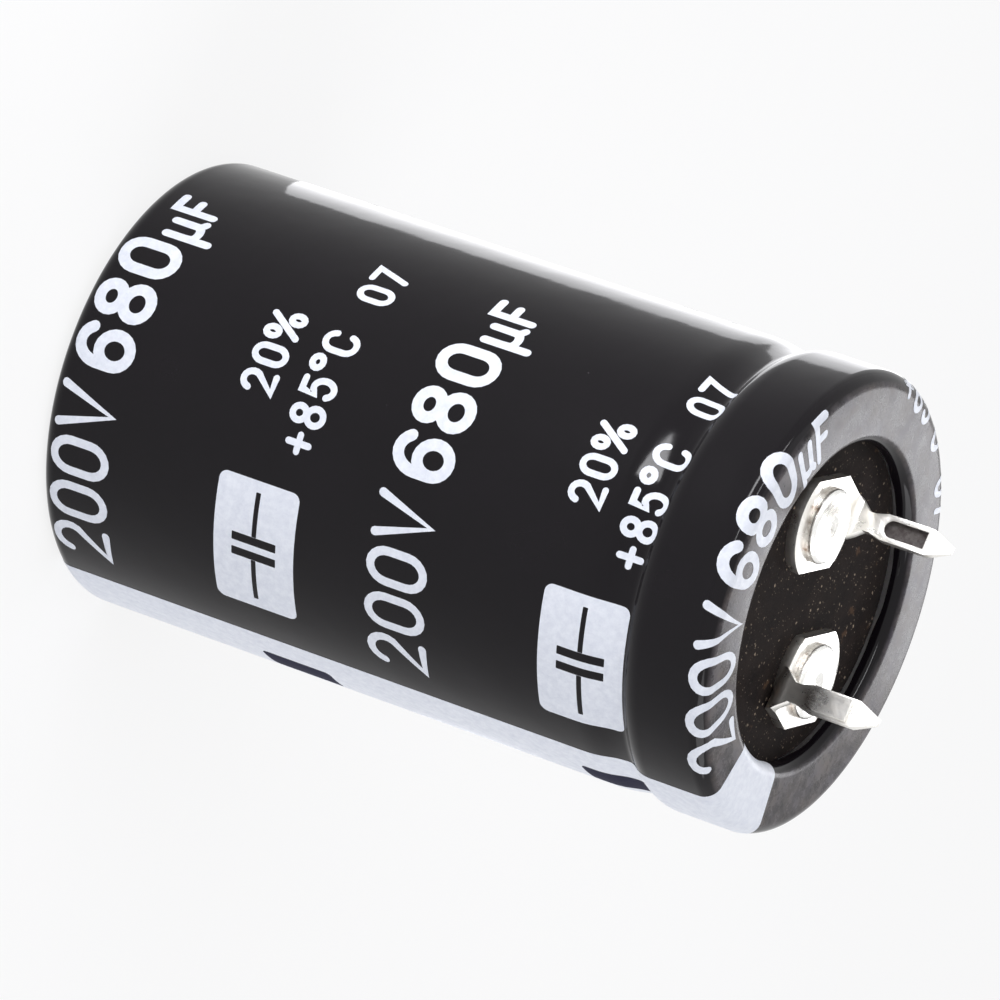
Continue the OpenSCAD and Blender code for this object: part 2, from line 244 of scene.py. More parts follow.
def makeSleevePlastic():
    look = {
        "film": (0.0042, 0.0031, 0.0045), "smudgedFilm": 1.4, "refraction": 1.28, "relief": 0.03,
        "smudges": {"Grain Size": 9.0, "Softness": 0.6}, "smooth": 0.07, "smudgeRough": 0.05,
        "dust": {"Spacing": 1.1, "Amount": 0.12}, "dustColour": (0.1, 0.09, 0.1),
        "rubs": {"Stretch": (2.2, 2.2, 0.25), "Amount": 0.3}, "rubRough": 0.15, "rubRelief": 0.04,
        "ripple": {"Grain Size": 2.6, "Softness": 0.35},
        "endFrom": 41.84, "endTo": 41.97, "beige": (0.34, 0.28, 0.24), "grey": (0.25, 0.23, 0.29),
        "cloud": {"Grain Size": 1.1, "Softness": 0.75}, "tint": {"Grain Size": 1.9, "Softness": 0.6},
        "haze": 0.34, "endRough": 0.12, "endMottle": 0.12,
    }
    material, tree, shader, place = newMaterial("sleevePlastic", IOR=look["refraction"])
    smudges = placeGroup(tree, fineGrain, place, look["smudges"])["Value"]
    dust = placeGroup(tree, dustSpecks, place, look["dust"])["Mask"]
    rubs = placeGroup(tree, hairlines, place, look["rubs"])
    film = mixColours(tree, smudges, look["film"], shaded(look["film"], look["smudgedFilm"]))
    film = mixColours(tree, dust, film, look["dustColour"])
    # the ring round the terminals is handled and hazy, the rest of the film is bright
    onEnd = between(tree, axesOf(tree, place)["Z"], look["endFrom"], look["endTo"])
    cloud = placeGroup(tree, fineGrain, place, look["cloud"])["Value"]
    tint = placeGroup(tree, fineGrain, place, look["tint"])["Value"]
    haze = mathNode(tree, "MULTIPLY", mathNode(tree, "MULTIPLY", onEnd, cloud), look["haze"])
    film = mixColours(tree, haze, film, mixColours(tree, tint, look["beige"], look["grey"]))
    roughness = timesPlus(tree, smudges, look["smudgeRough"], look["smooth"])
    roughness = timesPlus(tree, rubs["Mask"], look["rubRough"], roughness)
    mottle = timesPlus(tree, cloud, look["endMottle"], look["endRough"])
    roughness = timesPlus(tree, onEnd, mottle, roughness)
    ripple = placeGroup(tree, fineGrain, place, look["ripple"])["Height"]
    relief = timesPlus(tree, rubs["Height"], look["rubRelief"], ripple)
    layFinish(tree, shader, film, roughness, relief, look["relief"])
    return material


whiteInk = {"ink": (0.84, 0.87, 0.93), "thin": (0.7, 0.73, 0.81), "film": (0.03, 0.027, 0.03),
            "rough": 0.34, "refraction": 1.42}
darkInk = {"ink": (0.012, 0.012, 0.03), "thin": (0.03, 0.03, 0.055), "film": (0.2, 0.2, 0.24),
           "rough": 0.6, "refraction": 1.12}
inkCover = {"cover": {"Grain Size": 0.45, "Softness": 0.7}, "coverRough": 0.12,
            "pinholes": {"Spacing": 0.32, "Amount": 0.1}, "relief": 0.01}


def makePrintInk(name, look):
    material, tree, shader, place = newMaterial(name, IOR=look["refraction"])
    cover = placeGroup(tree, fineGrain, place, inkCover["cover"])
    pinholes = placeGroup(tree, dustSpecks, place, inkCover["pinholes"])["Mask"]
    ink = mixColours(tree, cover["Value"], look["ink"], look["thin"])
    ink = mixColours(tree, pinholes, ink, look["film"])
    roughness = timesPlus(tree, cover["Value"], inkCover["coverRough"], look["rough"])
    layFinish(tree, shader, ink, roughness, cover["Height"], inkCover["relief"])
    return material


def makeSealRubber():
    look = {
        "rubber": (0.0072, 0.0058, 0.006), "worn": (0.019, 0.0138, 0.012), "chalkColour": (0.5, 0.4, 0.3),
        "rust": (0.13, 0.075, 0.045), "gloss": 0.07, "rough": 0.72, "gritRough": 0.2, "relief": 0.025,
        "patches": {"Grain Size": 2.2, "Softness": 0.75}, "grit": {"Grain Size": 0.16, "Softness": 0.8},
        "specks": {"Spacing": 0.36, "Amount": 0.5, "Ragged": 0.7}, "chalkRelief": 0.5,
        "fine": {"Spacing": 0.17, "Amount": 0.55, "Ragged": 0.7}, "fineStrength": 0.5,
        "outsidePatches": 0.2, "betweenGrit": 0.3,
        "stains": {"Spacing": 1.3, "Amount": 0.5, "Ragged": 0.9}, "stainStrength": 0.4,
    }
    material, tree, shader, place = newMaterial("sealRubber", **{"Specular IOR Level": look["gloss"]})
    flat = vectorNode(tree, "MULTIPLY", place, (1, 1, 0))
    patches = placeGroup(tree, fineGrain, flat, look["patches"])["Value"]
    grit = placeGroup(tree, fineGrain, flat, look["grit"])
    specks = placeGroup(tree, dustSpecks, flat, look["specks"])["Mask"]
    fine = placeGroup(tree, dustSpecks, flat, look["fine"])["Mask"]
    # chalk lies mostly on the patches and on the tops of the grit
    chalk = mathNode(tree, "MAXIMUM", specks, mathNode(tree, "MULTIPLY", fine, look["fineStrength"]))
    for where, least in ((patches, look["outsidePatches"]), (grit["Value"], look["betweenGrit"])):
        chalk = mathNode(tree, "MULTIPLY", chalk, mathNode(tree, "ADD", where, least, clamp=True))
    stains = placeGroup(tree, dustSpecks, flat, look["stains"])["Mask"]
    stains = mathNode(tree, "MULTIPLY", stains, look["stainStrength"])
    colour = mixColours(tree, patches, look["rubber"], look["worn"])
    colour = mixColours(tree, stains, colour, look["rust"])
    colour = mixColours(tree, chalk, colour, look["chalkColour"])
    roughness = timesPlus(tree, grit["Value"], look["gritRough"], look["rough"])
    height = timesPlus(tree, chalk, look["chalkRelief"], grit["Height"])
    layFinish(tree, shader, colour, roughness, height, look["relief"])
    return material


def makeTinPlate():
    # bright tin; the pressed trough is painted dark brown, a painted shade for its recess
    look = {
        "tin": (0.93, 0.92, 0.89), "dull": (0.74, 0.68, 0.58), "troughShadeColour": (0.04, 0.026, 0.026),
        "bloom": {"Grain Size": 0.9, "Softness": 0.65}, "bloomStrength": 0.3, "bloomRough": 0.12,
        "marks": {"Stretch": (7, 7, 0.8), "Amount": 0.5}, "markRough": 0.15, "markRelief": 0.25,
        "smooth": 0.24, "relief": 0.015,
        "stain": {"Spacing": 0.9, "Amount": 0.22, "Ragged": 0.6}, "stainStrength": 0.5,
        "streaks": {"Grain Size": 0.35, "Softness": 0.7}, "streakStrength": 0.14, "thinnest": 0.86,
        "troughRough": 0.5,
        "pinX": 5.0, "troughHalf": 0.5, "troughFloor": -0.15, "troughTop": 0.24, "troughLow": 43.2,
        "troughHigh": 45.9,
    }
    material, tree, shader, place = newMaterial("tinPlate")
    bloom = placeGroup(tree, fineGrain, place, look["bloom"])
    marks = placeGroup(tree, hairlines, place, look["marks"])
    stain = placeGroup(tree, dustSpecks, place, look["stain"])["Mask"]
    axes = axesOf(tree, place)
    fromMiddle = mathNode(tree, "SUBTRACT", mathNode(tree, "ABSOLUTE", axes["X"]), look["pinX"])
    across = mathNode(tree, "ABSOLUTE", fromMiddle)
    depth = mathNode(tree, "MULTIPLY", axes["Y"], mathNode(tree, "SIGN", axes["X"]))
    inTrough = mathNode(tree, "LESS_THAN", across, look["troughHalf"])
    for value, operation, limit in ((depth, "GREATER_THAN", "troughFloor"), (depth, "LESS_THAN", "troughTop"),
                                    (axes["Z"], "GREATER_THAN", "troughLow"),
                                    (axes["Z"], "LESS_THAN", "troughHigh")):
        inTrough = mathNode(tree, "MULTIPLY", inTrough, mathNode(tree, operation, value, look[limit]))
    streaks = placeGroup(tree, fineGrain, place, look["streaks"])["Value"]
    cover = timesPlus(tree, streaks, look["streakStrength"], look["thinnest"])
    # painted shade: the trough's recess is darkened in the colour, and made rougher and not metallic
    troughShade = mathNode(tree, "MULTIPLY", inTrough, cover)
    bloomed = mathNode(tree, "MULTIPLY", bloom["Value"], look["bloomStrength"])
    stained = mathNode(tree, "MULTIPLY", stain, look["stainStrength"])
    tin = mixColours(tree, bloomed, look["tin"], look["dull"])
    tin = mixColours(tree, stained, tin, look["dull"])
    tin = mixColours(tree, troughShade, tin, look["troughShadeColour"])
    feed(tree, shader.inputs["Metallic"], mathNode(tree, "SUBTRACT", 1.0, troughShade))
    roughness = timesPlus(tree, bloom["Value"], look["bloomRough"], look["smooth"])
    roughness = timesPlus(tree, marks["Mask"], look["markRough"], roughness)
    roughness = timesPlus(tree, troughShade, look["troughRough"], roughness)
    height = timesPlus(tree, marks["Height"], look["markRelief"], bloom["Height"])
    layFinish(tree, shader, tin, roughness, height, look["relief"])
    return material


# aluminium three ways; round the foot of a head, up to a height the look gives, a dark brown is painted: partly
# tarnish, partly painted shade on the head's side wall
canLook = {
    "bright": (0.82, 0.83, 0.84), "dull": (0.7, 0.71, 0.73), "stain": (0.5, 0.5, 0.5), "stains": 0.1,
    "stainStep": 2.0, "rings": 0.35, "grain": 3.0, "stretch": (6, 6, 0.6), "rough": 0.24, "relief": 0.02,
    "tarnishAndShadeHeight": -1.0,
}
rivetLook = {
    "bright": (0.92, 0.92, 0.9), "dull": (0.8, 0.79, 0.76), "stain": (0.11, 0.065, 0.035), "stains": 0.42,
    "stainStep": 1.4, "rings": 0.22, "grain": 0.7, "stretch": (5, 5, 5), "rough": 0.2, "relief": 0.02,
    "tarnishAndShadeHeight": 41.72,
}
foilLook = {
    "bright": (0.7, 0.71, 0.72), "dull": (0.56, 0.57, 0.58), "stain": (0.4, 0.4, 0.4), "stains": 0.1,
    "stainStep": 0.8, "rings": 2.0, "grain": 0.12, "stretch": (8, 1, 8), "rough": 0.5, "relief": 0.01,
    "tarnishAndShadeHeight": -1.0,
}
metalWear = {"grainSoftness": 0.6, "scratches": 0.5, "scratchRough": 0.2, "scratchRelief": 0.5,
             "ringRough": 0.12, "ragged": 0.8, "tarnishAndShadeCloud": {"Grain Size": 0.8, "Softness": 0.6}}


def makeAluminium(name, centre, look):
    # drawn or headed aluminium, with the tool's rings round the piece's own axis
    wear = metalWear
    material, tree, shader, place = newMaterial(name, Metallic=1.0)
    rings = placeGroup(tree, turnedRings, place, {"Centre": centre, "Spacing": look["rings"]})
    grain = {"Grain Size": look["grain"], "Softness": wear["grainSoftness"]}
    bloom = placeGroup(tree, fineGrain, place, grain)
    scratches = placeGroup(tree, hairlines, place, {"Stretch": look["stretch"], "Amount": wear["scratches"]})
    spots = {"Spacing": look["stainStep"], "Amount": look["stains"], "Ragged": wear["ragged"]}
    stains = placeGroup(tree, dustSpecks, place, spots)["Mask"]
    tarnishAndShadeCloud = placeGroup(tree, fineGrain, place, wear["tarnishAndShadeCloud"])["Value"]
    # below that height the blotches are partly tarnish and partly painted shade, darkest on the rivet head's
    # side wall
    low = mathNode(tree, "LESS_THAN", axesOf(tree, place)["Z"], look["tarnishAndShadeHeight"])
    stains = mathNode(tree, "MAXIMUM", stains, mathNode(tree, "MULTIPLY", low, tarnishAndShadeCloud))
    shade = mixColours(tree, bloom["Value"], look["bright"], look["dull"])
    shade = mixColours(tree, stains, shade, look["stain"])
    roughness = timesPlus(tree, rings["Mask"], wear["ringRough"], look["rough"])
    roughness = timesPlus(tree, scratches["Mask"], wear["scratchRough"], roughness)
    height = timesPlus(tree, scratches["Height"], wear["scratchRelief"], rings["Height"])
    layFinish(tree, shader, shade, roughness, height, look["relief"])
    return material


def makeBoardLaminate():
    look = {"resin": (0.17, 0.08, 0.035), "darkResin": 0.75, "fibre": (0.3, 0.16, 0.075), "rough": 0.45,
            "cloudRough": 0.15, "relief": 0.02, "fibres": {"Stretch": (0.7, 6, 6), "Amount": 0.8},
            "clouds": {"Grain Size": 2.0, "Softness": 0.6}}
    material, tree, shader, place = newMaterial("boardLaminate")
    fibres = placeGroup(tree, hairlines, place, look["fibres"])
    clouds = placeGroup(tree, fineGrain, place, look["clouds"])["Value"]
    base = mixColours(tree, clouds, look["resin"], shaded(look["resin"], look["darkResin"]))
    base = mixColours(tree, fibres["Mask"], base, look["fibre"])
    roughness = timesPlus(tree, clouds, look["cloudRough"], look["rough"])
    layFinish(tree, shader, base, roughness, fibres["Height"], look["relief"])
    return material


def makeWindingPaper():
    look = {"paper": (0.7, 0.6, 0.42), "darkPaper": 0.85, "foil": (0.45, 0.45, 0.44), "foilStrength": 0.6,
            "rough": 0.75, "relief": 0.06, "turns": {"Spacing": 0.16},
            "fibre": {"Grain Size": 0.5, "Softness": 0.7}}
    material, tree, shader, place = newMaterial("windingPaper")
    turns = placeGroup(tree, turnedRings, place, look["turns"])
    fibre = placeGroup(tree, fineGrain, place, look["fibre"])
    paper = mixColours(tree, fibre["Value"], look["paper"], shaded(look["paper"], look["darkPaper"]))
    foil = mathNode(tree, "MULTIPLY", turns["Mask"], look["foilStrength"])
    paper = mixColours(tree, foil, paper, look["foil"])
    height = mathNode(tree, "ADD", turns["Height"], fibre["Height"])
    layFinish(tree, shader, paper, look["rough"], height, look["relief"])
    return material


def makeTapeFilm():
    look = {"film": (0.38, 0.53, 0.64), "crease": (0.5, 0.64, 0.74), "rough": 0.3, "creaseRough": 0.3,
            "relief": 0.04, "creases": {"Stretch": (0.8, 0.8, 0.15), "Amount": 0.6}}
    material, tree, shader, place = newMaterial("tapeFilm")
    creases = placeGroup(tree, hairlines, place, look["creases"])
    film = mixColours(tree, creases["Mask"], look["film"], look["crease"])
    roughness = timesPlus(tree, creases["Mask"], look["creaseRough"], look["rough"])
    layFinish(tree, shader, film, roughness, creases["Height"], look["relief"])
    return material


sleevePlastic = makeSleevePlastic()
printInk = makePrintInk("printInk", whiteInk)
sealRubber = makeSealRubber()
tinPlate = makeTinPlate()
print("finishes built")

# the sleeve's section, as in the part's source; lengths in millimetres
sleeveFilm = {
    "radius": 12.7, "film": 0.2, "skin": 0.425,      # skin: from the can wall's middle to the film's outside
    "underInk": 0.013,                               # the ink lies this much proud of the film
    "cornerRadius": 1.0, "endOpening": 9.5,          # round corner and opening on the closed end
    "grooveHeight": 36.5993, "grooveDip": 0.3, "lowReach": 2.6475, "highReach": 1.4457,
    "rimSwell": 0.2, "rimHeight": 42.0, "shoulderRadius": 0.9,
    "turnRadius": 0.7, "lipRadius": 8.9, "lipEnd": 41.1,
    "segments": 240, "arcStep": 7.5, "foldAbove": 50,
    "edgeWave": 0.09, "lipWave": 0.05,               # how far the cut edges wander
    "waves": ((5, 0.6, 1.0), (11, 2.1, 0.6), (23, 0.0, 0.4)),     # count round the sleeve, start, share
}
tiny = 1e-9


def arcLine(centre, radius, start, end):
    count = max(3, math.ceil(abs(end - start) / sleeveFilm["arcStep"]))
    angles = [math.radians(start + (end - start) * i / count) for i in range(count + 1)]
    return [(centre[0] + radius * math.cos(a), centre[1] + radius * math.sin(a)) for a in angles]


def sleeveLine(inset):
    # the film's section from the closed end's opening to the lip, at a depth under its outside
    s = sleeveFilm
    skin = s["skin"] - inset
    wall = s["radius"] - s["skin"]
    rimDip = s["grooveDip"] + s["rimSwell"]
    lowSum = (s["lowReach"] ** 2 + s["grooveDip"] ** 2) / (2 * s["grooveDip"])
    highSum = (s["highReach"] ** 2 + rimDip ** 2) / (2 * rimDip)
    lowTurn = math.degrees(math.acos(1 - s["grooveDip"] / lowSum))
    highTurn = math.degrees(math.acos(1 - rimDip / highSum))
    nose, groove, swollen = wall - s["grooveDip"], s["grooveHeight"], wall + s["rimSwell"]
    shoulder = (s["radius"] + s["rimSwell"] - s["shoulderRadius"], s["rimHeight"] - s["shoulderRadius"])
    turn = (s["lipRadius"] + s["turnRadius"], s["rimHeight"] - s["turnRadius"])
    corner = (s["radius"] - s["cornerRadius"], s["cornerRadius"])
    line = [(s["endOpening"], inset)] + arcLine(corner, s["cornerRadius"] - inset, -90, 0)
    line += arcLine((wall - lowSum / 2, groove - s["lowReach"]), lowSum / 2 + skin, 0, lowTurn)
    line += arcLine((nose + lowSum / 2, groove), lowSum / 2 - skin, 180 + lowTurn, 180)[1:]
    line += arcLine((nose + highSum / 2, groove), highSum / 2 - skin, 180, 180 - highTurn)[1:]
    line += arcLine((swollen - highSum / 2, groove + s["highReach"]), highSum / 2 + skin, -highTurn, 0)[1:]
    line += arcLine(shoulder, s["shoulderRadius"] - inset, 0, 90)
    line += arcLine(turn, s["turnRadius"] - inset, 90, 180)
    line += [(s["lipRadius"] + inset, s["lipEnd"])]
    return line


def runAlong(line):
    # height of each point on the flat film, which equals Z on the straight part of the case
    heights = [0.0]
    for a, b in zip(line, line[1:]):
        heights.append(heights[-1] + math.dist(a, b))
    straight = next(i for i, point in enumerate(line) if abs(point[0] - sleeveFilm["radius"]) < tiny)
    shift = sleeveFilm["cornerRadius"] - heights[straight]
    return [height + shift for height in heights]


outerLine = sleeveLine(0.0)
filmHeights = runAlong(outerLine)


def onSleeve(degrees, height):
    # the point of the shrunk sleeve at an angle and a height on the flat film
    height = min(max(height, filmHeights[0]), filmHeights[-1])
    index = next(i for i in range(len(filmHeights) - 1) if filmHeights[i + 1] >= height)
    span = filmHeights[index + 1] - filmHeights[index]
    share = (height - filmHeights[index]) / span if span > tiny else 0.0
    (r0, z0), (r1, z1) = outerLine[index], outerLine[index + 1]
    radius, turn = r0 + (r1 - r0) * share, math.radians(degrees)
    return Vector((radius * math.cos(turn), radius * math.sin(turn), z0 + (z1 - z0) * share)) * mm


def meshObject(name, mesh, material, sharpAbove=None):
    bmesh.ops.recalc_face_normals(mesh, faces=mesh.faces[:])
    data = bpy.data.meshes.new(name)
    mesh.to_mesh(data)
    mesh.free()
    data.shade_smooth()
    if sharpAbove:
        data.set_sharp_from_angle(angle=math.radians(sharpAbove))
    data.materials.append(material)
    piece = bpy.data.objects.new(name, data)
    bpy.context.scene.collection.objects.link(piece)
    return piece


def buildSleeve():
    s = sleeveFilm
    outside, inside = sleeveLine(s["underInk"]), sleeveLine(s["film"])
    loop = outside + inside[::-1]
    last = len(outside) - 1
    mesh = bmesh.new()
    rings = []
    for j in range(s["segments"]):
        turn = fullTurn * j / s["segments"]
        wander = sum(share * math.sin(count * turn + start) for count, start, share in s["waves"])
        ring = []
        for i, (r, z) in enumerate(loop):
            if i in (0, len(loop) - 1):
                r += s["edgeWave"] * wander
            if i in (last, last + 1):
                z += s["lipWave"] * wander
            ring.append(mesh.verts.new((r * mm * math.cos(turn), r * mm * math.sin(turn), z * mm)))
        rings.append(ring)
    for j, here in enumerate(rings):
        there = rings[(j + 1) % len(rings)]
        for i in range(len(loop)):
            k = (i + 1) % len(loop)
            mesh.faces.new((here[i], there[i], there[k], here[k]))
    return meshObject("sleeveFilm", mesh, sleevePlastic, s["foldAbove"])


sleeve = buildSleeve()
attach(sleeve, "root")
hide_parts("sleeve")
print("sleeve built")

# print: strokes with round ends, laid flat and then wrapped round the sleeve
inkMesh = {"edgeStep": 0.2, "gridStep": 0.45, "mitreLimit": 0.3, "endSteps": 6, "joinWithin": 1e-5}


def bow(centre, reach, start, end, count=10):
    # part of an ellipse, in a letter's own units
    turns = [math.radians(start + (end - start) * i / count) for i in range(count + 1)]
    return [(centre[0] + reach[0] * math.cos(a), centre[1] + reach[1] * math.sin(a)) for a in turns]


def letterStrokes(letter, width, half):
    # centre lines in units of the letter's height: (points, closed)
    left, right, foot, top = half, width - half, half, 1 - half
    middle, reach = width / 2, width / 2 - half
    if letter == "0":
        return [(bow((middle, 0.66), (reach, top - 0.66), 0, 180)
                 + bow((middle, 0.34), (reach, 0.34 - foot), 180, 360), True)]
    if letter == "2":
        return [(bow((middle, 0.68), (reach, top - 0.68), 168, -32) + [(left, foot), (right, foot)], False)]
    if letter == "5":
        return [([(right - 0.04, top), (left + 0.07, top), (left + 0.02, 0.54)]
                 + bow((middle, 0.36), (reach, 0.36 - foot), 122, -152, 14), False)]
    if letter == "6":
        return [(bow((middle, 0.34), (reach, 0.34 - foot), 0, 360, 20)[:-1], True),
                (bow((middle + 0.04, 0.58), (reach + 0.04, top - 0.58), 38, 180) + [(left, 0.34)], False)]
    if letter == "7":
        return [([(left, top), (right, top), (left + 0.14, foot)], False)]
    if letter == "8":
        return [(bow((middle, 0.3), (reach, 0.3 - foot), 0, 360, 20)[:-1], True),
                (bow((middle, 0.735), (reach - 0.03, top - 0.735), 0, 360, 20)[:-1], True)]
    if letter == "V":
        return [([(left - 0.02, top), (middle, foot), (right + 0.02, top)], False)]
    if letter == "F":
        return [([(left, foot), (left, top), (right, top)], False),
                ([(left, 0.52), (right - 0.06, 0.52)], False)]
    if letter == "C":
        return [(bow((middle, 0.66), (reach, top - 0.66), 12, 180)
                 + bow((middle, 0.34), (reach, 0.34 - foot), 180, 348), False)]
    if letter == "u":     # the micro sign
        return [([(left, -0.22), (left, 0.7)], False),
                ([(left, 0.34)] + bow((middle, 0.22), (reach, 0.22 - foot), 200, 340) + [(right, 0.7)],
                 False),
                ([(right, 0.7), (right, 0.16), (right + 0.1, foot)], False)]
    if letter == "o":     # the degree sign
        return [(bow((middle, 0.82), (0.155, 0.14), 0, 360, 14)[:-1], True)]
    if letter == "+":
        return [([(middle, 0.22), (middle, 0.78)], False), ([(left, 0.5), (right, 0.5)], False)]
    if letter == "%":
        return [(bow((left + 0.09, 0.74), (0.12, 0.17), 0, 360, 14)[:-1], True),
                (bow((right - 0.09, 0.26), (0.12, 0.17), 0, 360, 14)[:-1], True),
                ([(right - 0.06, top), (left + 0.06, foot)], False)]
    return []


def sideOf(points, closed, distance):
    # the line moved sideways, with mitred corners
    moved = []
    for i, point in enumerate(points):
        before = points[i - 1] if i or closed else None
        after = points[(i + 1) % len(points)] if i < len(points) - 1 or closed else None
        ways = [(Vector(b) - Vector(a)).normalized() for a, b in ((before, point), (point, after)) if a and b]
        normals = [Vector((-way.y, way.x)) for way in ways]
        across = sum(normals, Vector((0, 0))) / len(normals)
        across /= max(across.length_squared, inkMesh["mitreLimit"])
        moved.append(Vector(point) + across * distance)
    return moved


def roundEnd(point, towards, half):
    start, steps = math.atan2(towards[1], towards[0]), inkMesh["endSteps"]
    turns = [start + math.pi / 2 - math.pi * i / steps for i in range(1, steps)]
    return [Vector(point) + Vector((math.cos(a), math.sin(a))) * half for a in turns]


def strokeField(points, closed, half):
    # outline of one stroke: (what it covers, the hole in it)
    if closed:
        sides = sideOf(points, True, half), sideOf(points, True, -half)
        return tuple(sorted(sides, key=lambda side: -max(point.y for point in side)))
    ahead = Vector(points[-1]) - Vector(points[-2])
    back = Vector(points[0]) - Vector(points[1])
    outline = sideOf(points, False, half) + roundEnd(points[-1], ahead, half)
    outline += sideOf(points, False, -half)[::-1] + roundEnd(points[0], back, half)
    return outline, None


def splitEdges(outline):
    # the outline anticlockwise, with no long edge
    area = sum(a[0] * b[1] - b[0] * a[1] for a, b in zip(outline, outline[1:] + outline[:1]))
    if area < 0:
        outline = outline[::-1]
    points = []
    for a, b in zip(outline, outline[1:] + outline[:1]):
        a, b = Vector(a), Vector(b)
        parts = max(1, math.ceil((b - a).length / inkMesh["edgeStep"]))
        points += [a + (b - a) * i / parts for i in range(parts)]
    return points


def layFields(mesh, fields, startAngle, cuts=()):
    # fields are (outline, hole) pairs in millimetres of flat film: x runs round the sleeve, y up its height;
    # a cut is an outline that stays bare
    verts, rings = [], []

    def addRing(shape):
        ring = splitEdges(shape)
        rings.append(list(range(len(verts), len(verts) + len(ring))))
        verts.extend(ring)
        return len(rings) - 1

    covers = [(addRing(outline), addRing(hole) if hole else None) for outline, hole in fields]
    low = Vector((min(v.x for v in verts), min(v.y for v in verts)))
    high = Vector((max(v.x for v in verts), max(v.y for v in verts)))
    left = [addRing(cut) for cut in cuts]
    rowCount = math.ceil((high.y - low.y) / inkMesh["gridStep"])
    columnCount = math.ceil((high.x - low.x) / inkMesh["gridStep"])
    rows = [h for h in filmHeights if low.y < h < high.y]
    rows += [low.y + (high.y - low.y) * i / rowCount for i in range(1, rowCount)]
    for y in rows:
        verts += [Vector((low.x + (high.x - low.x) * i / columnCount, y)) for i in range(1, columnCount)]
    flat, _, triangles, _, _, origins = delaunay_2d_cdt(verts, [], rings, 0, inkMesh["joinWithin"])
    made = {}
    for triangle, inside in zip(triangles, origins):
        inked = any(cover in inside and hole not in inside for cover, hole in covers)
        if inked and not any(cut in inside for cut in left):
            for index in triangle:
                if index not in made:
                    x, y = flat[index]
                    degrees = startAngle - math.degrees(x / sleeveFilm["radius"])
                    made[index] = mesh.verts.new(onSleeve(degrees, y))
            mesh.faces.new([made[index] for index in triangle])


def roundedField(left, low, right, high, corner):
    spots = ((right - corner, high - corner, 0), (left + corner, high - corner, 90),
             (left + corner, low + corner, 180), (right - corner, low + corner, 270))
    return [Vector(p) for x, y, start in spots for p in bow((x, y), (corner, corner), start, start + 90, 5)]


def layWord(mesh, word, startAngle, baseline, row, x=0.0):
    # letters stand with their tops towards the closed end, so y runs down the sleeve
    for letter in word:
        if letter == " ":
            x += row["space"]
            continue
        size = row["height"] * row["low"].get(letter, 1.0)
        width = row["widths"].get(letter, row["width"])
        half = row["stroke"] / size / 2
        fields = []
        for points, closed in letterStrokes(letter, width / size, half):
            fields.append([shape and [Vector((x + p.x * size, baseline - p.y * size)) for p in shape]
                           for shape in strokeField(points, closed, half)])
        layFields(mesh, fields, startAngle)
        x += width + row["gap"]
    return x


# rows of print; turn is in degrees after the column's start, drop is the way up from the rating's baseline
lightRow = {"height": 3.8, "stroke": 0.5, "width": 2.25, "gap": 0.42, "space": 0.6,
            "widths": {"u": 1.55, "F": 1.55, "V": 2.5}, "low": {"u": 0.76, "F": 0.76}}
heavyRow = {"height": 3.8, "stroke": 0.66, "width": 2.4, "gap": 0.42, "space": 0.55, "widths": {}, "low": {}}
ratingWords = (("200V ", lightRow), ("680", heavyRow), ("uF", lightRow))
smallRow = {"height": 2.25, "stroke": 0.38, "width": 1.3, "gap": 0.27, "space": 0.5,
            "widths": {"o": 0.85, "C": 1.4, "%": 1.8}, "low": {}}
smallWords = {"tolerance": {"word": "20%", "turn": 59.0, "drop": 11.6},
              "heat": {"word": "+85oC", "turn": 48.0, "drop": 8.1},
              "number": {"word": "07", "turn": 90.5, "drop": 8.0}}
symbolBlock = {"turn": 3.5, "length": 7.9, "low": 13.4, "high": 8.3, "corner": 0.5,
               "plateGap": 0.9, "plateStroke": 0.5, "plateReach": 2.8, "wireReach": 2.6, "wireStroke": 0.3,
               "cutGap": 0.01, "cutCorner": 0.05}


def laySymbolBlock(mesh, startAngle, baseline):
    # a white block with a capacitor's circuit sign left out of it
    b = symbolBlock
    low, high = baseline - b["low"], baseline - b["high"]
    middle, centre = (low + high) / 2, b["length"] / 2
    cuts = []
    for side in (-1, 1):
        plate = centre + side * b["plateGap"] / 2
        outer = plate + side * (b["plateStroke"] / 2 + b["cutGap"])
        wire = sorted((outer, outer + side * b["wireReach"]))
        half = b["plateStroke"] / 2
        for left, right, tall in ((plate - half, plate + half, b["plateReach"]), (*wire, b["wireStroke"])):
            cuts.append(roundedField(left, middle - tall / 2, right, middle + tall / 2, b["cutCorner"]))
    block = roundedField(0, low, b["length"], high, b["corner"])
    layFields(mesh, [(block, None)], startAngle - b["turn"], cuts)


columns = {
    "frontPrint": {"start": 156.0, "ratings": (4.5, 24.8, 44.9), "blocks": (24.8, 45.2),
                   "small": ((156.0, 24.8), (156.0, 45.3))},
    "backPrint": {"start": 12.0, "ratings": (11.5, 31.8), "blocks": (31.8,),
                  "small": ((12.0, 31.8), (56.0, 51.2))},
}


def buildColumn(name):
    column = columns[name]
    mesh = bmesh.new()
    for baseline in column["ratings"]:
        x = 0.0
        for word, row in ratingWords:
            x = layWord(mesh, word, column["start"], baseline, row, x)
    for baseline in column["blocks"]:
        laySymbolBlock(mesh, column["start"], baseline)
    for start, baseline in column["small"]:
        for word in smallWords.values():
            layWord(mesh, word["word"], start - word["turn"], baseline - word["drop"], smallRow)
    piece = meshObject(name, mesh, printInk)
    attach(piece, "root")
    print(name, "laid:", len(piece.data.polygons), "faces")


for columnName in columns:
    buildColumn(columnName)

polarityStripe = {"centre": 180.0, "span": 31.0, "edgeGap": 0.35, "markHeight": 14.9, "markStep": 20.3,
                  "markLength": 4.4, "markWidth": 2.4, "markCorner": 0.35}


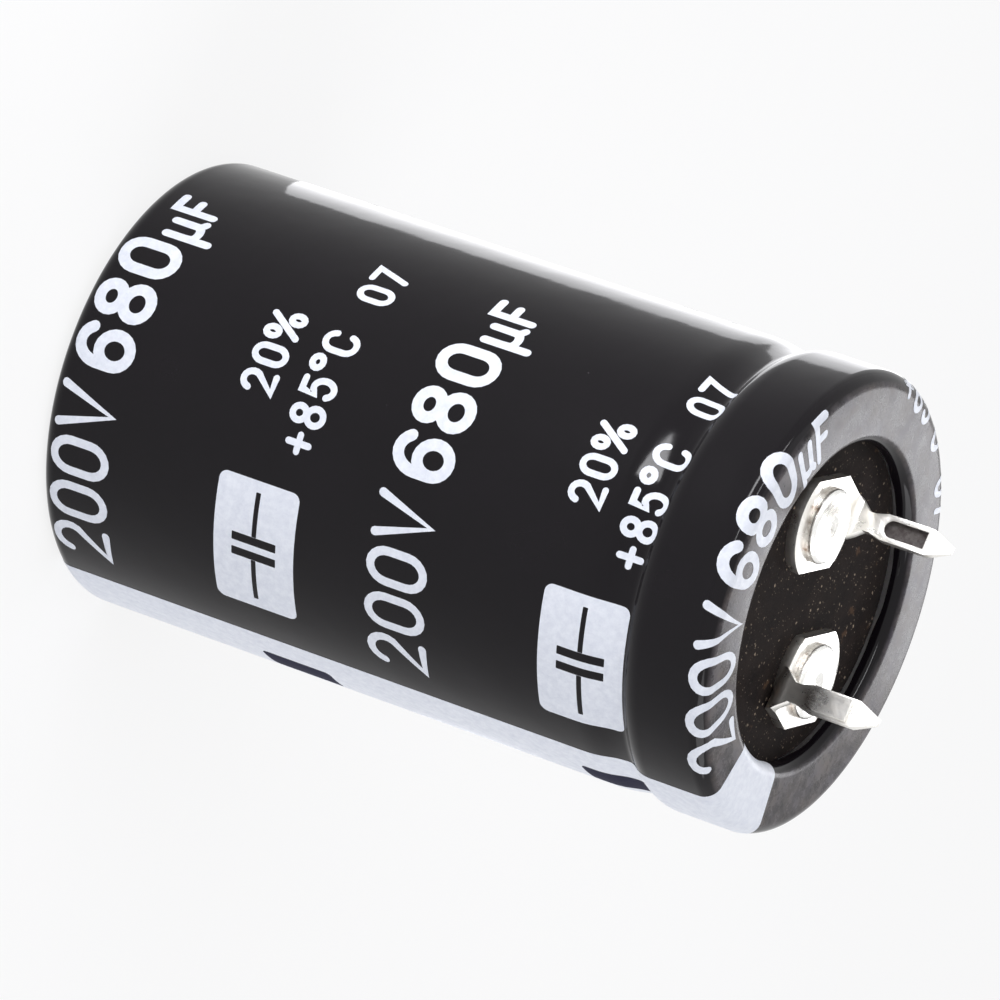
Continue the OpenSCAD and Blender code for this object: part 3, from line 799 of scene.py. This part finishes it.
def buildStripe():
    s = polarityStripe
    width = math.radians(s["span"]) * sleeveFilm["radius"]
    low, high = filmHeights[0] + s["edgeGap"], filmHeights[-1]
    field = [Vector((0, low)), Vector((width, low)), Vector((width, high)), Vector((0, high))]
    marks = []
    for middle in (s["markHeight"], s["markHeight"] + s["markStep"]):
        marks.append(roundedField((width - s["markWidth"]) / 2, middle - s["markLength"] / 2,
                                  (width + s["markWidth"]) / 2, middle + s["markLength"] / 2, s["markCorner"]))
    mesh = bmesh.new()
    layFields(mesh, [(field, None)], s["centre"] + s["span"] / 2, marks)
    piece = meshObject("polarityStripe", mesh, printInk)
    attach(piece, "root")
    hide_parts("polarity_stripe")
    mesh = bmesh.new()
    layFields(mesh, [(mark, None) for mark in marks], s["centre"] + s["span"] / 2)
    piece = meshObject("stripeMarks", mesh, makePrintInk("markInk", darkInk))
    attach(piece, "root")


buildStripe()
print("stripe laid")

# the parts that keep the CAD's own shape
dress("rubber_face", sealRubber)
dress("can", makeAluminium("canAluminium", (0, 0, 0), canLook))
dress("phenolic_board", makeBoardLaminate())
dress("winding", makeWindingPaper())
dress("winding_tape", makeTapeFilm())
rivetPlace = {"positive": (3.5, 3.1, 0), "negative": (-3.5, -3.1, 0)}
for side, centre in rivetPlace.items():
    headed = makeAluminium(side + "RivetAluminium", centre, rivetLook)
    dress(side + "_rivet", headed)
    dress(side + "_washer", headed)
    dress(side + "_terminal", tinPlate)
    softenEdges(side + "_terminal")
    dress(side + "_tab", makeAluminium(side + "TabFoil", centre, foilLook))
print("parts dressed")

# floor, light and camera; lamps stand round their target, sizes in metres
studio = {
    "floorSize": 6.0, "floorColour": (0.86, 0.86, 0.87), "floorRough": 0.9, "floorWhite": 0.82,
    "tooth": {"Grain Size": 1.5, "Softness": 0.6}, "toothShade": 0.985,
    "world": 0.4, "worldTint": (0.97, 0.98, 1.0), "lampTint": (0.97, 0.97, 1.0),
}
lamps = {
    "key": {"target": (3, 12, 35), "azimuth": 60, "height": -4.5, "distance": 0.1, "size": (0.045, 0.0185),
            "roll": -14, "power": 0.048},
    "upper": {"target": (0, 0, 40), "azimuth": 57, "height": 30, "distance": 0.3, "size": (0.28, 0.014),
              "roll": 0, "power": 0.3},
    "top": {"target": (0, 0, 22), "azimuth": 0, "height": 60, "distance": 0.5, "size": (0.35, 0.35),
            "roll": 0, "power": 0.2},
    "fill": {"target": (0, 0, 22), "azimuth": 192, "height": 40, "distance": 0.6, "size": (0.4, 0.4),
             "roll": 0, "power": 1.5},
    "end": {"target": (8, -7, 42), "azimuth": -78, "height": 24, "distance": 0.085, "size": (0.026, 0.026),
            "roll": 0, "power": 0.0108},
    "low": {"target": (37.6, -54.3, 30.5), "azimuth": 0, "height": -90, "distance": 0.03, "size": (0.096, 0.07),
            "roll": 34.7, "power": 0.044},
}


def whiteToTheEye(tree):
    # 1 where a ray from the camera, a gloss or a glass meets the background
    path = addNode(tree, "ShaderNodeLightPath").outputs
    seen = mathNode(tree, "ADD", path["Is Camera Ray"], path["Is Glossy Ray"])
    return mathNode(tree, "ADD", seen, path["Is Transmission Ray"], clamp=True)


def buildFloor():
    mesh = bmesh.new()
    half = studio["floorSize"] / 2
    corners = ((-half, -half), (half, -half), (half, half), (-half, half))
    mesh.faces.new([mesh.verts.new((x, y, 0)) for x, y in corners])
    material, tree, shader, place = newMaterial("floorPaper", Roughness=studio["floorRough"])
    tooth = placeGroup(tree, fineGrain, place, studio["tooth"])["Value"]
    paper = studio["floorColour"]
    paper = mixColours(tree, tooth, paper, shaded(paper, studio["toothShade"]))
    feed(tree, shader.inputs["Base Color"], paper)
    white = addNode(tree, "ShaderNodeEmission", {"Color": (1, 1, 1, 1), "Strength": 1.0})
    share = mathNode(tree, "MULTIPLY", whiteToTheEye(tree), studio["floorWhite"])
    mixed = addNode(tree, "ShaderNodeMixShader", {0: share, 1: shader.outputs[0], 2: white.outputs[0]})
    feed(tree, tree.nodes["Material Output"].inputs["Surface"], mixed.outputs[0])
    meshObject("floor", mesh, material)


def buildWorld():
    world = bpy.data.worlds.new("studio")
    bpy.context.scene.world = world
    world.use_nodes = True
    tree = world.node_tree
    background = tree.nodes["Background"]
    soft = shaded(studio["worldTint"], studio["world"])
    feed(tree, background.inputs["Color"], mixColours(tree, whiteToTheEye(tree), soft, (1, 1, 1)))
    background.inputs["Strength"].default_value = 1.0


def buildLamp(name):
    s = lamps[name]
    target = Vector(s["target"]) * mm
    azimuth, height = math.radians(s["azimuth"]), math.radians(s["height"])
    flat = math.cos(height)
    away = Vector((math.cos(azimuth) * flat, math.sin(azimuth) * flat, math.sin(height)))
    light = bpy.data.lights.new(name + "Lamp", "AREA")
    light.shape = "RECTANGLE"
    light.size, light.size_y = s["size"]
    light.energy = s["power"]
    light.color = studio["lampTint"]
    lamp = bpy.data.objects.new(name + "Lamp", light)
    lamp.location = target + away * s["distance"]
    facing = away.to_track_quat("Z", "Y") @ Quaternion((0, 0, 1), math.radians(s["roll"]))
    lamp.rotation_euler = facing.to_euler()
    lamp.visible_camera = False
    bpy.context.scene.collection.objects.link(lamp)


photoCamera = {"place": (-71.953, 380.801, 213.952), "right": (0.39837, -0.35259, 0.84675),
               "up": (0.90216, 0.31727, -0.29233), "sensor": 36.0, "lens": 288.0, "near": 0.01, "far": 20.0}


def buildCamera():
    c = photoCamera
    right, up = Vector(c["right"]).normalized(), Vector(c["up"]).normalized()
    data = bpy.data.cameras.new("photoCamera")
    data.sensor_width, data.lens = c["sensor"], c["lens"]
    data.clip_start, data.clip_end = c["near"], c["far"]
    camera = bpy.data.objects.new("photoCamera", data)
    turn = Matrix((right, up, right.cross(up))).transposed().to_4x4()
    camera.matrix_world = Matrix.Translation(Vector(c["place"]) * mm) @ turn
    bpy.context.scene.collection.objects.link(camera)
    bpy.context.scene.camera = camera


buildFloor()
buildWorld()
for lampName in lamps:
    buildLamp(lampName)
buildCamera()
bpy.context.scene.view_settings.view_transform = "Standard"
print("studio set")
